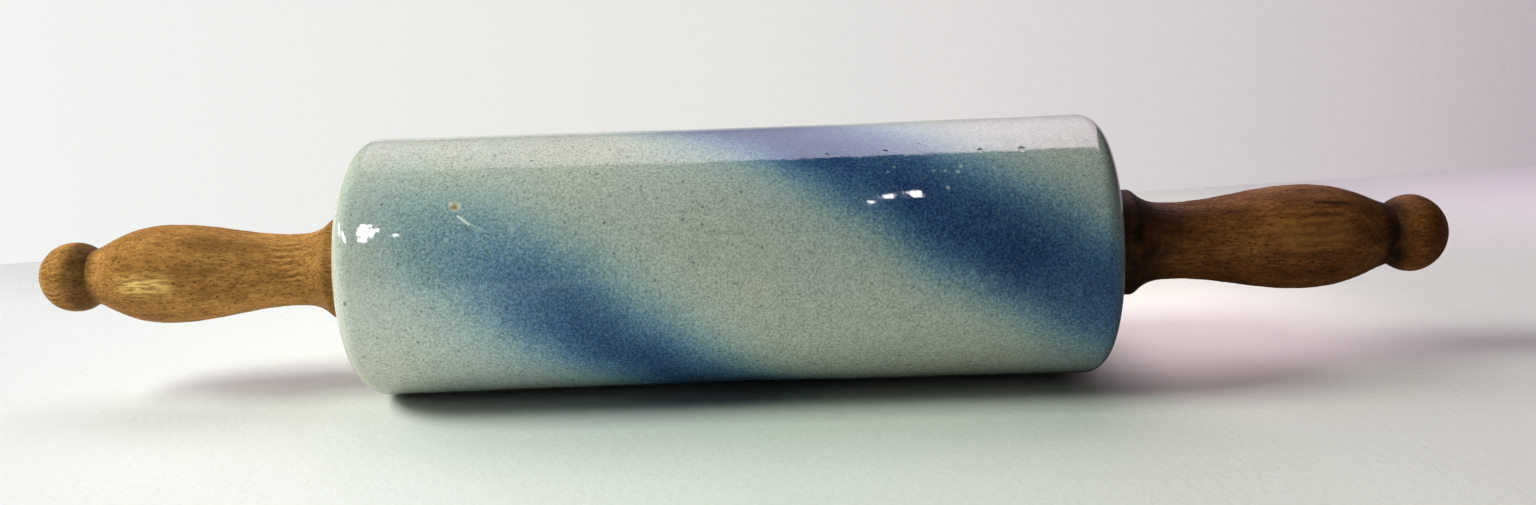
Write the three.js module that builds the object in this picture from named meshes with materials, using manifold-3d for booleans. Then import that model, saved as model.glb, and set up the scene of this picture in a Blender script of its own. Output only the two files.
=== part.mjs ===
// Stoneware rolling pin: a hollow glazed barrel that turns on a wooden spindle between two handles.
// Millimetres. +X runs along the pin, +Z is up, and the barrel rests on z = 0.
import * as THREE from "three";
import { mergeVertices } from "three/addons/utils/BufferGeometryUtils.js";
import Module from "manifold-3d";

// Barrel
const BARREL_LENGTH = 204;
const BARREL_RADIUS = 36;
const BARREL_EDGE = 6;
const BARREL_WALL = 11;
const CAVITY_CORNER = 8;
const SEAT_DEPTH = 10;
const LEDGE_THICKNESS = 5;
const LEDGE_WIDTH = 1.6;

// Spindle and its bushes
const SPINDLE_RADIUS = 9.5;
const RUNNING_CLEARANCE = 0.08;
const BUSH_WALL = 3.4;
const BUSH_CHAMFER = 0.8;
const BUSH_PROUD = 0.3;
const BUSH_GAP = 0.25;
const THRUST_GAP = 0.3;
const TENON_RADIUS = 7;
const TENON_LENGTH = 32;
const TENON_CHAMFER = 1.2;

// Both handles. Places are measured outwards from the barrel's end face.
const COLLAR_LENGTH = 8.8;
const COLLAR_INNER_EDGE = 1.6;
const COLLAR_OUTER_EDGE = 1.7;
const COLLAR_DROP = 0.63;
const NECK_AT = 20;
const GRIP_AT = 55.5;
const COLLAR_EASE = 0.35;
const COVE_SLOPE = 0.94;
const COVE_START = 0.23;
const COVE_EASE = 0.555;
const SWELL_EASE = 0.37;
const FALL_EASE = 0.55;
const FALL_SLOPE = 0.25;
const GROOVE_LIP = 0.5;
const GROOVE_SHARE = 0.77;
const KNOB_CENTRE_SHARE = 0.365;
const SOCKET_GAP = 0.2;
const DRILL_POINT = 3;

// Left handle
const LEFT_COLLAR_RADIUS = 14.4;
const LEFT_NECK_RADIUS = 10.1;
const LEFT_GRIP_RADIUS = 13.9;
const LEFT_GRIP_END = 77.2;
const LEFT_KNOB_RADIUS = 9.8;
const LEFT_KNOB_LENGTH = 14.9;

// Right handle
const RIGHT_COLLAR_RADIUS = 14.7;
const RIGHT_NECK_RADIUS = 10.7;
const RIGHT_GRIP_RADIUS = 14.5;
const RIGHT_GRIP_END = 80.2;
const RIGHT_KNOB_RADIUS = 10.7;
const RIGHT_KNOB_LENGTH = 15.3;

// Handle pins
const PIN_RADIUS = 1.25;
const PIN_GAP = 0.12;
const PIN_AT = 24;
const PIN_SINK = 0.6;
const PIN_PAST_AXIS = 3;
const PIN_CHAMFER = 0.3;

// Roundness of the turned pieces and of their curves
const BARREL_SIDES = 56;
const WOOD_SIDES = 32;
const PIN_SIDES = 16;
const CURVE_STEPS = 5;
const QUARTER_ROUND = 0.5523;

// Fits that follow from the sizes above
const AXIS_HEIGHT = BARREL_RADIUS * Math.cos(Math.PI / BARREL_SIDES);
const BARREL_END = BARREL_LENGTH / 2;
const CAVITY_RADIUS = BARREL_RADIUS - BARREL_WALL;
const CAVITY_END = BARREL_END - SEAT_DEPTH - LEDGE_THICKNESS;
const BORE_RADIUS = (SPINDLE_RADIUS + RUNNING_CLEARANCE) / Math.cos(Math.PI / WOOD_SIDES);
const BUSH_RADIUS = BORE_RADIUS + BUSH_WALL;
const SEAT_RADIUS = BUSH_RADIUS + BUSH_GAP;
const LEDGE_RADIUS = SEAT_RADIUS - LEDGE_WIDTH;
const COLLAR_GAP = BUSH_PROUD + THRUST_GAP;
const SHOULDER = BARREL_END + COLLAR_GAP - SOCKET_GAP;
const SOCKET_RADIUS = TENON_RADIUS + SOCKET_GAP;
const SOCKET_END = COLLAR_GAP + TENON_LENGTH;
const LEFT_REACH = BARREL_END + LEFT_GRIP_END + GROOVE_LIP + LEFT_KNOB_LENGTH;
const RIGHT_REACH = BARREL_END + RIGHT_GRIP_END + GROOVE_LIP + RIGHT_KNOB_LENGTH;

const wasm = await Module();
wasm.setup();

// The closed solid of a geometry, without the seams of its texture coordinates.
function solidOf(geometry) {
  const bare = new THREE.BufferGeometry();
  bare.setAttribute("position", geometry.getAttribute("position"));
  bare.setIndex(geometry.getIndex());
  const merged = mergeVertices(bare, 1e-4);
  const mesh = new wasm.Mesh({
    numProp: 3,
    vertProperties: new Float32Array(merged.getAttribute("position").array),
    triVerts: new Uint32Array(merged.getIndex().array),
  });
  return new wasm.Manifold(mesh);
}

// A mesh with the shape of a solid and a plain surface.
function meshOf(name, solid, colour, roughness, metalness) {
  const { vertProperties, triVerts } = solid.getMesh();
  const geometry = new THREE.BufferGeometry();
  geometry.setAttribute("position", new THREE.BufferAttribute(vertProperties, 3));
  geometry.setIndex(new THREE.BufferAttribute(triVerts, 1));
  geometry.computeVertexNormals();
  const material = new THREE.MeshStandardMaterial({ color: colour, roughness, metalness });
  const mesh = new THREE.Mesh(geometry, material);
  mesh.name = name;
  return mesh;
}

// Rounds the way from the path's last point to a new point, about the corner between them.
function roundTo(path, cornerRadius, cornerPlace, radius, place) {
  const from = path.currentPoint;
  path.bezierCurveTo(
    from.x + QUARTER_ROUND * (cornerRadius - from.x),
    from.y + QUARTER_ROUND * (cornerPlace - from.y),
    radius + QUARTER_ROUND * (cornerRadius - radius),
    place + QUARTER_ROUND * (cornerPlace - place),
    radius,
    place,
  );
}

// The points of a path of (radius, place along the axis), each one once.
function profileOf(path) {
  const points = path.getPoints(CURVE_STEPS);
  return points.filter((point, i) => i === 0 || point.distanceTo(points[i - 1]) > 1e-6);
}

// A turned solid on the X axis. Its places grow towards +X, or towards -X when side is -1.
function turned(path, sides, side) {
  const lathe = new THREE.LatheGeometry(profileOf(path), sides, Math.PI / sides);
  lathe.rotateZ((-side * Math.PI) / 2);
  return solidOf(lathe);
}

// A round hole's solid, upright through the axis at a place along X.
function uprightHole(radius, x, low, high) {
  const cylinder = new THREE.CylinderGeometry(radius, radius, high - low, PIN_SIDES);
  cylinder.rotateX(Math.PI / 2);
  cylinder.translate(x, 0, (low + high) / 2);
  return solidOf(cylinder);
}

// Hollow barrel: rounded outer edges, rounded cavity corners and a stepped seat for a bush in each end.
function barrelSolid() {
  const seatEnd = BARREL_END - SEAT_DEPTH;
  const path = new THREE.Path();
  path.moveTo(SEAT_RADIUS, -BARREL_END);
  path.lineTo(BARREL_RADIUS - BARREL_EDGE, -BARREL_END);
  roundTo(path, BARREL_RADIUS, -BARREL_END, BARREL_RADIUS, BARREL_EDGE - BARREL_END);
  path.lineTo(BARREL_RADIUS, BARREL_END - BARREL_EDGE);
  roundTo(path, BARREL_RADIUS, BARREL_END, BARREL_RADIUS - BARREL_EDGE, BARREL_END);
  path.lineTo(SEAT_RADIUS, BARREL_END);
  path.lineTo(SEAT_RADIUS, seatEnd);
  path.lineTo(LEDGE_RADIUS, seatEnd);
  path.lineTo(LEDGE_RADIUS, CAVITY_END);
  path.lineTo(CAVITY_RADIUS - CAVITY_CORNER, CAVITY_END);
  roundTo(path, CAVITY_RADIUS, CAVITY_END, CAVITY_RADIUS, CAVITY_END - CAVITY_CORNER);
  path.lineTo(CAVITY_RADIUS, CAVITY_CORNER - CAVITY_END);
  roundTo(path, CAVITY_RADIUS, -CAVITY_END, CAVITY_RADIUS - CAVITY_CORNER, -CAVITY_END);
  path.lineTo(LEDGE_RADIUS, -CAVITY_END);
  path.lineTo(LEDGE_RADIUS, -seatEnd);
  path.lineTo(SEAT_RADIUS, -seatEnd);
  path.lineTo(SEAT_RADIUS, -BARREL_END);
  return turned(path, BARREL_SIDES, 1);
}

// Sleeve bush in the seat at one end, a little proud of the barrel as the handle's thrust face.
function bushSolid(side) {
  const inner = BARREL_END - SEAT_DEPTH + BUSH_GAP;
  const outer = BARREL_END + BUSH_PROUD;
  const path = new THREE.Path();
  path.moveTo(BORE_RADIUS, inner);
  path.lineTo(BUSH_RADIUS - BUSH_CHAMFER, inner);
  path.lineTo(BUSH_RADIUS, inner + BUSH_CHAMFER);
  path.lineTo(BUSH_RADIUS, outer - BUSH_CHAMFER);
  path.lineTo(BUSH_RADIUS - BUSH_CHAMFER, outer);
  path.lineTo(BORE_RADIUS + BUSH_CHAMFER, outer);
  path.lineTo(BORE_RADIUS, outer - BUSH_CHAMFER);
  path.lineTo(BORE_RADIUS, inner);
  return turned(path, WOOD_SIDES, side);
}

// Spindle with a chamfered tenon beyond each shoulder and a blind hole for each handle pin.
function spindleSolid() {
  const tip = BARREL_END + SOCKET_END - SOCKET_GAP;
  const path = new THREE.Path();
  path.moveTo(0, -tip);
  path.lineTo(TENON_RADIUS - TENON_CHAMFER, -tip);
  path.lineTo(TENON_RADIUS, TENON_CHAMFER - tip);
  path.lineTo(TENON_RADIUS, -SHOULDER);
  path.lineTo(SPINDLE_RADIUS, -SHOULDER);
  path.lineTo(SPINDLE_RADIUS, SHOULDER);
  path.lineTo(TENON_RADIUS, SHOULDER);
  path.lineTo(TENON_RADIUS, tip - TENON_CHAMFER);
  path.lineTo(TENON_RADIUS - TENON_CHAMFER, tip);
  path.lineTo(0, tip);
  let spindle = turned(path, WOOD_SIDES, 1);
  for (const side of [-1, 1]) {
    const x = side * (BARREL_END + PIN_AT);
    const hole = uprightHole(PIN_RADIUS + PIN_GAP, x, -2 * TENON_RADIUS, PIN_PAST_AXIS + PIN_GAP);
    spindle = spindle.subtract(hole);
  }
  return spindle;
}

// Handle turned in one piece: socket, collar bead, cove, swelling grip, narrow groove and ball knob.
function handleSolid(side, collarRadius, neckRadius, gripRadius, gripEnd, knobRadius, knobLength) {
  const collarEnd = COLLAR_GAP + COLLAR_LENGTH;
  const coveLength = NECK_AT - collarEnd;
  const coveRadius = collarRadius - COLLAR_DROP;
  const coveStart = COVE_START * coveLength;
  const collarEase = COLLAR_EASE * COLLAR_OUTER_EDGE;
  const swellLength = GRIP_AT - NECK_AT;
  const fallLength = gripEnd - GRIP_AT;
  const grooveRadius = GROOVE_SHARE * knobRadius;
  const knobReach = knobLength * (1 - KNOB_CENTRE_SHARE);
  const knobStart = -Math.asin(KNOB_CENTRE_SHARE / (1 - KNOB_CENTRE_SHARE));
  const knobCentre = gripEnd + GROOVE_LIP + knobLength * KNOB_CENTRE_SHARE;
  const path = new THREE.Path();
  path.moveTo(0, SOCKET_END + DRILL_POINT);
  path.lineTo(SOCKET_RADIUS, SOCKET_END);
  path.lineTo(SOCKET_RADIUS, COLLAR_GAP);
  path.lineTo(collarRadius - COLLAR_INNER_EDGE, COLLAR_GAP);
  roundTo(path, collarRadius, COLLAR_GAP, collarRadius, COLLAR_GAP + COLLAR_INNER_EDGE);
  path.lineTo(collarRadius, collarEnd - COLLAR_OUTER_EDGE);
  path.bezierCurveTo(
    collarRadius,
    collarEnd - COLLAR_OUTER_EDGE + collarEase,
    coveRadius + COVE_SLOPE * collarEase,
    collarEnd - collarEase,
    coveRadius,
    collarEnd,
  );
  path.bezierCurveTo(
    coveRadius - COVE_SLOPE * coveStart,
    collarEnd + coveStart,
    neckRadius,
    NECK_AT - COVE_EASE * coveLength,
    neckRadius,
    NECK_AT,
  );
  path.bezierCurveTo(
    neckRadius,
    NECK_AT + SWELL_EASE * swellLength,
    gripRadius,
    GRIP_AT - SWELL_EASE * swellLength,
    gripRadius,
    GRIP_AT,
  );
  path.bezierCurveTo(
    gripRadius,
    GRIP_AT + FALL_EASE * fallLength,
    grooveRadius + FALL_SLOPE * (gripRadius - grooveRadius),
    gripEnd - FALL_SLOPE * fallLength,
    grooveRadius,
    gripEnd,
  );
  path.lineTo(knobRadius * Math.cos(knobStart), gripEnd + GROOVE_LIP);
  path.absellipse(0, knobCentre, knobRadius, knobReach, knobStart, Math.PI / 2);
  const handle = turned(path, WOOD_SIDES, side);
  const x = side * (BARREL_END + PIN_AT);
  return handle.translate([side * BARREL_END, 0, 0]).subtract(
    uprightHole(PIN_RADIUS + PIN_GAP, x, -2 * gripRadius, 0),
  );
}

// Pin driven from below through a handle's neck and its tenon.
function pinSolid(side, neckRadius) {
  const low = PIN_SINK - neckRadius;
  const path = new THREE.Path();
  path.moveTo(0, low);
  path.lineTo(PIN_RADIUS - PIN_CHAMFER, low);
  path.lineTo(PIN_RADIUS, low + PIN_CHAMFER);
  path.lineTo(PIN_RADIUS, PIN_PAST_AXIS - PIN_CHAMFER);
  path.lineTo(PIN_RADIUS - PIN_CHAMFER, PIN_PAST_AXIS);
  path.lineTo(0, PIN_PAST_AXIS);
  const lathe = new THREE.LatheGeometry(profileOf(path), PIN_SIDES);
  lathe.rotateX(Math.PI / 2);
  lathe.translate(side * (BARREL_END + PIN_AT), 0, 0);
  return solidOf(lathe);
}

const leftHandle = handleSolid(
  -1,
  LEFT_COLLAR_RADIUS,
  LEFT_NECK_RADIUS,
  LEFT_GRIP_RADIUS,
  LEFT_GRIP_END,
  LEFT_KNOB_RADIUS,
  LEFT_KNOB_LENGTH,
);
const rightHandle = handleSolid(
  1,
  RIGHT_COLLAR_RADIUS,
  RIGHT_NECK_RADIUS,
  RIGHT_GRIP_RADIUS,
  RIGHT_GRIP_END,
  RIGHT_KNOB_RADIUS,
  RIGHT_KNOB_LENGTH,
);

const rollingPin = new THREE.Group();
rollingPin.name = "rolling_pin";
rollingPin.add(
  meshOf("barrel", barrelSolid(), 0xaeb5a4, 0.28, 0),
  meshOf("left_bush", bushSolid(-1), 0x9a7446, 0.7, 0),
  meshOf("right_bush", bushSolid(1), 0x9a7446, 0.7, 0),
  meshOf("spindle", spindleSolid(), 0xa98554, 0.65, 0),
  meshOf("left_handle", leftHandle, 0x8d6234, 0.45, 0),
  meshOf("right_handle", rightHandle, 0x8d6234, 0.45, 0),
  meshOf("left_handle_pin", pinSolid(-1, LEFT_NECK_RADIUS), 0x8a8a86, 0.45, 1),
  meshOf("right_handle_pin", pinSolid(1, RIGHT_NECK_RADIUS), 0x8a8a86, 0.45, 1),
);
rollingPin.position.set((LEFT_REACH - RIGHT_REACH) / 2, 0, AXIS_HEIGHT);

export default rollingPin;
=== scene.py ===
"""Stoneware rolling pin: glazed barrel, turned handles and the wooden work inside, with studio and camera.

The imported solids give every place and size. The barrel and the handles get finer meshes of the same shape,
and the hidden pieces keep their solids. All lengths are metres, +X along the pin and +Z up.
"""

from __future__ import annotations

import logging
import math
from dataclasses import dataclass
from enum import Enum
from functools import cached_property
from typing import Any, Callable, Mapping, Sequence

import bpy
import numpy as np
from mathutils import Matrix, Vector


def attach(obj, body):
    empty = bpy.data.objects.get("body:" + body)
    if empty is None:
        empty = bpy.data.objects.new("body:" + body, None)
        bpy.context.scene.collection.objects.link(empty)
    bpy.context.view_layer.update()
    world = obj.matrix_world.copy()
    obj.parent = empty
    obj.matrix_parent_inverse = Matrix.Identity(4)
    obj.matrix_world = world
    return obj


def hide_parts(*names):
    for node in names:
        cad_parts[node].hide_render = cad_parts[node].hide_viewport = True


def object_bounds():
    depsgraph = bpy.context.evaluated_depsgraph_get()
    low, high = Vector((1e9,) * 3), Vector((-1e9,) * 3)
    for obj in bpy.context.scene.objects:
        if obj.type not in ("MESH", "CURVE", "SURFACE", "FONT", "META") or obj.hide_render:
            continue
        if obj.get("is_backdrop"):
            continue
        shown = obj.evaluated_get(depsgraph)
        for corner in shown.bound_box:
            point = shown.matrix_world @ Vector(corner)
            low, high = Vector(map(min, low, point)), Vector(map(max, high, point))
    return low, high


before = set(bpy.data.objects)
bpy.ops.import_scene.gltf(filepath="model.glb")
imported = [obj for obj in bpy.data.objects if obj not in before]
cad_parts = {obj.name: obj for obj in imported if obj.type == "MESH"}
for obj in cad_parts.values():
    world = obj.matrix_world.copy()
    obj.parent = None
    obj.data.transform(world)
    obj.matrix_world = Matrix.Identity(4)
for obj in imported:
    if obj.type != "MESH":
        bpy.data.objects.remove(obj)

log = logging.getLogger("rolling_pin")

MM = 0.001
BARREL_MIDDLE = -1.7 * MM
AXIS_HEIGHT = 35.943 * MM
BARREL_RADIUS = 36.0 * MM
BARREL_HALF = 102.0 * MM
COLLAR_GAP = 0.6 * MM
CHIP_SPOT = (-69.4, 51.5)
STAGE_DROP = 0.1 * MM
FRAME_WIDTH = 1536
SHARP_ANGLE = math.radians(40.0)
Colour = tuple[float, float, float]
BLACK: Colour = (0.0, 0.0, 0.0)
RadiusChange = Callable[[np.ndarray, np.ndarray, np.ndarray], np.ndarray]


class Side(Enum):
    """The end of the barrel that a piece belongs to, with its direction along X."""

    LEFT = -1
    RIGHT = 1


class Tone:
    """A number on a surface: one socket of a finish's nodes, with Python arithmetic."""

    def __init__(self, bench: Bench, socket: bpy.types.NodeSocket) -> None:
        """Wraps an output socket of a bench's nodes."""
        self.bench = bench
        self.socket = socket

    def _maths(self, operation: str, *values: Tone | float) -> Tone:
        """Adds one Math node.

        Args:
            operation: the node's operation.
            values: its inputs in order.

        Returns:
            The result.
        """
        return self.bench.tone("ShaderNodeMath", {"operation": operation}, dict(enumerate(values)))

    def __add__(self, other: Tone | float) -> Tone:
        """self + other."""
        return self._maths("ADD", self, other)

    def __radd__(self, other: float) -> Tone:
        """other + self."""
        return self._maths("ADD", other, self)

    def __sub__(self, other: Tone | float) -> Tone:
        """self - other."""
        return self._maths("SUBTRACT", self, other)

    def __rsub__(self, other: float) -> Tone:
        """other - self."""
        return self._maths("SUBTRACT", other, self)

    def __mul__(self, other: Tone | float) -> Tone:
        """self * other."""
        return self._maths("MULTIPLY", self, other)

    def __rmul__(self, other: float) -> Tone:
        """other * self."""
        return self._maths("MULTIPLY", other, self)

    def __truediv__(self, other: Tone | float) -> Tone:
        """self / other."""
        return self._maths("DIVIDE", self, other)

    def __pow__(self, other: float) -> Tone:
        """self to a power."""
        return self._maths("POWER", self, other)

    def __abs__(self) -> Tone:
        """The size without its sign."""
        return self._maths("ABSOLUTE", self)

    def exp(self) -> Tone:
        """e to the power of self."""
        return self._maths("EXPONENT", self)

    def sine(self) -> Tone:
        """Sine of self in radians."""
        return self._maths("SINE", self)

    def angle_to(self, other: Tone) -> Tone:
        """Arc tangent of self over other, in radians, by quadrant."""
        return self._maths("ARCTAN2", self, other)

    def larger(self, other: Tone | float) -> Tone:
        """The larger of the two."""
        return self._maths("MAXIMUM", self, other)

    def smaller(self, other: Tone | float) -> Tone:
        """The smaller of the two."""
        return self._maths("MINIMUM", self, other)

    def ramp(self, low: float, high: float, start: float = 0.0, end: float = 1.0) -> Tone:
        """A smooth, clamped change between two values.

        Args:
            low: where the change starts.
            high: where it ends; it may be under low.
            start: result at low.
            end: result at high.

        Returns:
            The changed value.
        """
        settings = {"interpolation_type": "SMOOTHSTEP", "clamp": True}
        sockets = {"Value": self, "From Min": low, "From Max": high, "To Min": start, "To Max": end}
        return self.bench.tone("ShaderNodeMapRange", settings, sockets)


class Bench:
    """The nodes of one material, lamp or world, built one node at a time."""

    def __init__(self, owner: bpy.types.Material | bpy.types.Light | bpy.types.World) -> None:
        """Clears the nodes of what it works on.

        Args:
            owner: the material, lamp or world.
        """
        owner.use_nodes = True
        self.owner = owner
        self.tree = owner.node_tree
        self.tree.nodes.clear()

    @cached_property
    def place(self) -> bpy.types.NodeSocket:
        """The surface's place in the piece's own frame."""
        return self.node("ShaderNodeTexCoord", {}, {}).outputs["Object"]

    def node(
        self, kind: str, settings: Mapping[str, Any], sockets: Mapping[str | int, Any]
    ) -> bpy.types.Node:
        """Adds a node.

        Args:
            kind: the node's type.
            settings: properties set first; "stops" holds a colour ramp's (place, colour) pairs.
            sockets: values or links, by identifier, name or number.

        Returns:
            The node.
        """
        made = self.tree.nodes.new(kind)
        for key, value in settings.items():
            if key != "stops":
                setattr(made, key, value)
                continue
            elements = made.color_ramp.elements
            while len(elements) < len(value):
                elements.new(0.5)
            for element, (place, colour) in zip(elements, value):
                element.position = place
                element.color = (*colour, 1.0)
        by_name = {s.name: s for s in reversed(made.inputs)} | {s.identifier: s for s in made.inputs}
        for key, value in sockets.items():
            socket = made.inputs[key] if isinstance(key, int) else by_name[key]
            if isinstance(value, Tone):
                self.tree.links.new(value.socket, socket)
            elif isinstance(value, bpy.types.NodeSocket):
                self.tree.links.new(value, socket)
            elif socket.type == "RGBA" and len(value) == 3:
                socket.default_value = (*value, 1.0)
            else:
                socket.default_value = value
        return made

    def tone(
        self, kind: str, settings: Mapping[str, Any], sockets: Mapping[str | int, Any], output: str | int = 0
    ) -> Tone:
        """Adds a node and takes one of its numbers.

        Args:
            kind: the node's type.
            settings: its properties.
            sockets: its inputs.
            output: name or number of the output.

        Returns:
            The output as a number.
        """
        return Tone(self, self.node(kind, settings, sockets).outputs[output])

    def vector(self, operation: str, sockets: Mapping[str | int, Any]) -> bpy.types.NodeSocket:
        """Adds a Vector Math node and takes its vector, which may be a colour."""
        return self.node("ShaderNodeVectorMath", {"operation": operation}, sockets).outputs[0]

    def measure(self, operation: str, sockets: Mapping[str | int, Any]) -> Tone:
        """Adds a Vector Math node and takes its number."""
        return self.tone("ShaderNodeVectorMath", {"operation": operation}, sockets, "Value")

    def parts(self, vector: bpy.types.NodeSocket) -> list[Tone]:
        """The three numbers of a vector."""
        return [Tone(self, part) for part in self.node("ShaderNodeSeparateXYZ", {}, {0: vector}).outputs]

    def sweep(self, stops: Sequence[tuple[float, Colour]], share: Tone) -> bpy.types.NodeSocket:
        """A colour that changes with a share, over stops of share and colour."""
        return self.node("ShaderNodeValToRGB", {"stops": stops}, {"Fac": share}).outputs["Color"]

    def rays(self, *kinds: str) -> list[Tone]:
        """1 for rays of a kind and 0 for the others, for each kind."""
        path = self.node("ShaderNodeLightPath", {}, {})
        return [Tone(self, path.outputs[kind]) for kind in kinds]

    def mixed(self, share: Tone, first: Any, second: Any) -> bpy.types.NodeSocket:
        """Mixes two shaders, by the share of the second."""
        return self.node("ShaderNodeMixShader", {}, {0: share, 1: first, 2: second}).outputs[0]

    def scaled(self, factors: Sequence[float], shift: Sequence[float] = (0, 0, 0)) -> bpy.types.NodeSocket:
        """The surface's place, stretched and moved.

        Args:
            factors: factor along each axis.
            shift: movement after that.

        Returns:
            A vector socket.
        """
        return self.vector("MULTIPLY_ADD", {0: self.place, 1: tuple(factors), 2: tuple(shift)})

    def noise(
        self, vector: bpy.types.NodeSocket, scale: float, detail: float = 2.0, roughness: float = 0.5,
        distortion: float = 0.0,
    ) -> Tone:
        """Cloudy noise about 0.5.

        Args:
            vector: where it is looked up.
            scale: waves per metre of that vector.
            detail: octaves.
            roughness: share of the finer octaves.
            distortion: swirl.

        Returns:
            The noise.
        """
        sockets = {
            "Vector": vector, "Scale": scale, "Detail": detail, "Roughness": roughness,
            "Distortion": distortion,
        }
        return self.tone("ShaderNodeTexNoise", {"noise_dimensions": "3D"}, sockets)

    def specks(self, scale: float, size: float, share: float, shift: float = 0.0) -> Tone:
        """Small separate round specks.

        Args:
            scale: cells per metre.
            size: radius of a speck as a share of its cell.
            share: share of the cells that hold one.
            shift: moves the pattern.

        Returns:
            1 on a speck, 0 between them.
        """
        vector = self.scaled((1, 1, 1), (shift, shift, shift))
        cells = self.node("ShaderNodeTexVoronoi", {"feature": "F1"}, {"Vector": vector, "Scale": scale})
        pick = self.node("ShaderNodeSeparateColor", {}, {"Color": cells.outputs["Color"]})
        held = Tone(self, pick.outputs[0]).ramp(share + 0.02, share - 0.02)
        near = Tone(self, cells.outputs["Distance"]).ramp(size, size * 0.45)
        return held * near

    def near(self, point: Vector, inner: float, outer: float) -> Tone:
        """A round mark about a point.

        Args:
            point: its middle.
            inner: radius of the full mark.
            outer: radius where it ends.

        Returns:
            1 inside, 0 outside.
        """
        return self.measure("DISTANCE", {0: self.place, 1: tuple(point)}).ramp(outer, inner)

    def near_line(self, start: Vector, end: Vector, inner: float, outer: float) -> Tone:
        """A thin straight mark between two points.

        Args:
            start: its first end.
            end: its other end.
            inner: half width of the full mark.
            outer: half width where it ends.

        Returns:
            1 on the line, 0 away from it.
        """
        length = (end - start).length
        direction = tuple((end - start) / length)
        away = self.scaled((1, 1, 1), -start)
        held = self.measure("DOT_PRODUCT", {0: away, 1: direction}).larger(0.0).smaller(length)
        foot = self.vector("SCALE", {0: direction, "Scale": held})
        return self.measure("DISTANCE", {0: away, 1: foot}).ramp(outer, inner)

    def blend(self, share: Tone | float, first: Any, second: Any, kind: str = "MIX") -> bpy.types.NodeSocket:
        """Mixes two colours.

        Args:
            share: share of the second.
            first: colour or link.
            second: colour or link.
            kind: the mix's blend type.

        Returns:
            A colour socket.
        """
        settings = {"data_type": "RGBA", "blend_type": kind, "clamp_factor": True}
        sockets = {"Factor_Float": share, "A_Color": first, "B_Color": second}
        return self.node("ShaderNodeMix", settings, sockets).outputs["Result"]

    def axes(self) -> tuple[Tone, Tone, Tone]:
        """Place along the pin from the barrel's middle, and place in front of and above the axis.

        Returns:
            Along, front and up, in metres.
        """
        along, back, up = self.parts(self.scaled((1, 1, 1), (-BARREL_MIDDLE, 0, -AXIS_HEIGHT)))
        return along, back * -1.0, up

    def finish(
        self, colour: Any, roughness: Tone | float, height: Tone | None, depth: float, **constants: Any
    ) -> bpy.types.Material:
        """Ends the material with a Principled shader.

        Args:
            colour: base colour or its link.
            roughness: roughness.
            height: relief from 0 to 1, or None.
            depth: depth of the relief in metres.
            constants: other Principled sockets, by name with underscores for spaces.

        Returns:
            The material.
        """
        sockets: dict[str | int, Any] = {"Base Color": colour, "Roughness": roughness}
        sockets |= {key.replace("_", " "): value for key, value in constants.items()}
        if height is not None:
            relief = {"Height": height, "Distance": depth, "Strength": 1.0}
            sockets["Normal"] = self.node("ShaderNodeBump", {}, relief).outputs[0]
        shader = self.node("ShaderNodeBsdfPrincipled", {}, sockets)
        self.node("ShaderNodeOutputMaterial", {}, {"Surface": shader.outputs[0]})
        return self.owner


def on_pin(along: float, degrees: float, radius: float = BARREL_RADIUS / MM) -> Vector:
    """A point on a turned face of the pin.

    Args:
        along: place along the pin from the barrel's middle, in millimetres.
        degrees: angle from the top towards the front.
        radius: distance from the axis in millimetres; the barrel's own if left out.

    Returns:
        The point in metres.
    """
    turn = math.radians(degrees)
    return Vector((
        BARREL_MIDDLE + along * MM,
        -radius * MM * math.sin(turn),
        AXIS_HEIGHT + radius * MM * math.cos(turn),
    ))


def turned_from(front: Tone, up: Tone, degrees: float) -> Tone:
    """Angle round the axis from a line along the pin, rising towards the front.

    Args:
        front: place in front of the axis.
        up: place above the axis.
        degrees: where the line lies, from the top towards the front.

    Returns:
        The angle in radians, within half a turn to each side.
    """
    cosine, sine = math.cos(math.radians(degrees)), math.sin(math.radians(degrees))
    return (front * cosine - up * sine).angle_to(up * cosine + front * sine)


@dataclass(frozen=True)
class SprayedBand:
    """A soft blue band sprayed on the turning barrel, so that it climbs round it.

    Places are millimetres from the barrel's middle, angles are degrees from the top towards the front.
    """

    along: float
    at_angle: float
    climb: float
    left_spread: float
    right_spread: float
    density: float
    starts: float
    full: float
    edge: float
    thins_to: float = 1.0
    thins_over: tuple[float, float] = (10.0, 45.0)

    def tone(self, along: Tone, front: Tone, up: Tone, wander: Tone) -> Tone:
        """How dense the sprayed colour lies at each place.

        Args:
            along: place along the pin.
            front: place in front of the axis.
            up: place above the axis.
            wander: small sideways wander of the spray.

        Returns:
            The density, 0 for none.
        """
        turned = turned_from(front, up, self.at_angle)
        lead = self.climb * MM * 180 / math.pi
        aside = along - self.along * MM - turned * lead + wander
        left = (aside / (self.left_spread * MM)).smaller(0.0)
        right = (aside / (self.right_spread * MM)).larger(0.0)
        begins = turned.ramp(*(math.radians(angle - self.at_angle) for angle in (self.starts, self.full)))
        thins = turned.ramp(*(math.radians(angle) for angle in self.thins_over), 1.0, self.thins_to)
        return (abs(left + right) ** self.edge * -0.5).exp() * begins * thins * self.density


@dataclass(frozen=True)
class Dab:
    """A soft round mark on the glaze. Its place and radii are millimetres, its angle is degrees."""

    along: float
    degrees: float
    inner: float
    outer: float
    share: float
    colour: Colour

    def tone(self, bench: Bench) -> Tone:
        """How strongly it shows at each place."""
        return bench.near(on_pin(self.along, self.degrees), self.inner * MM, self.outer * MM) * self.share


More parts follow.
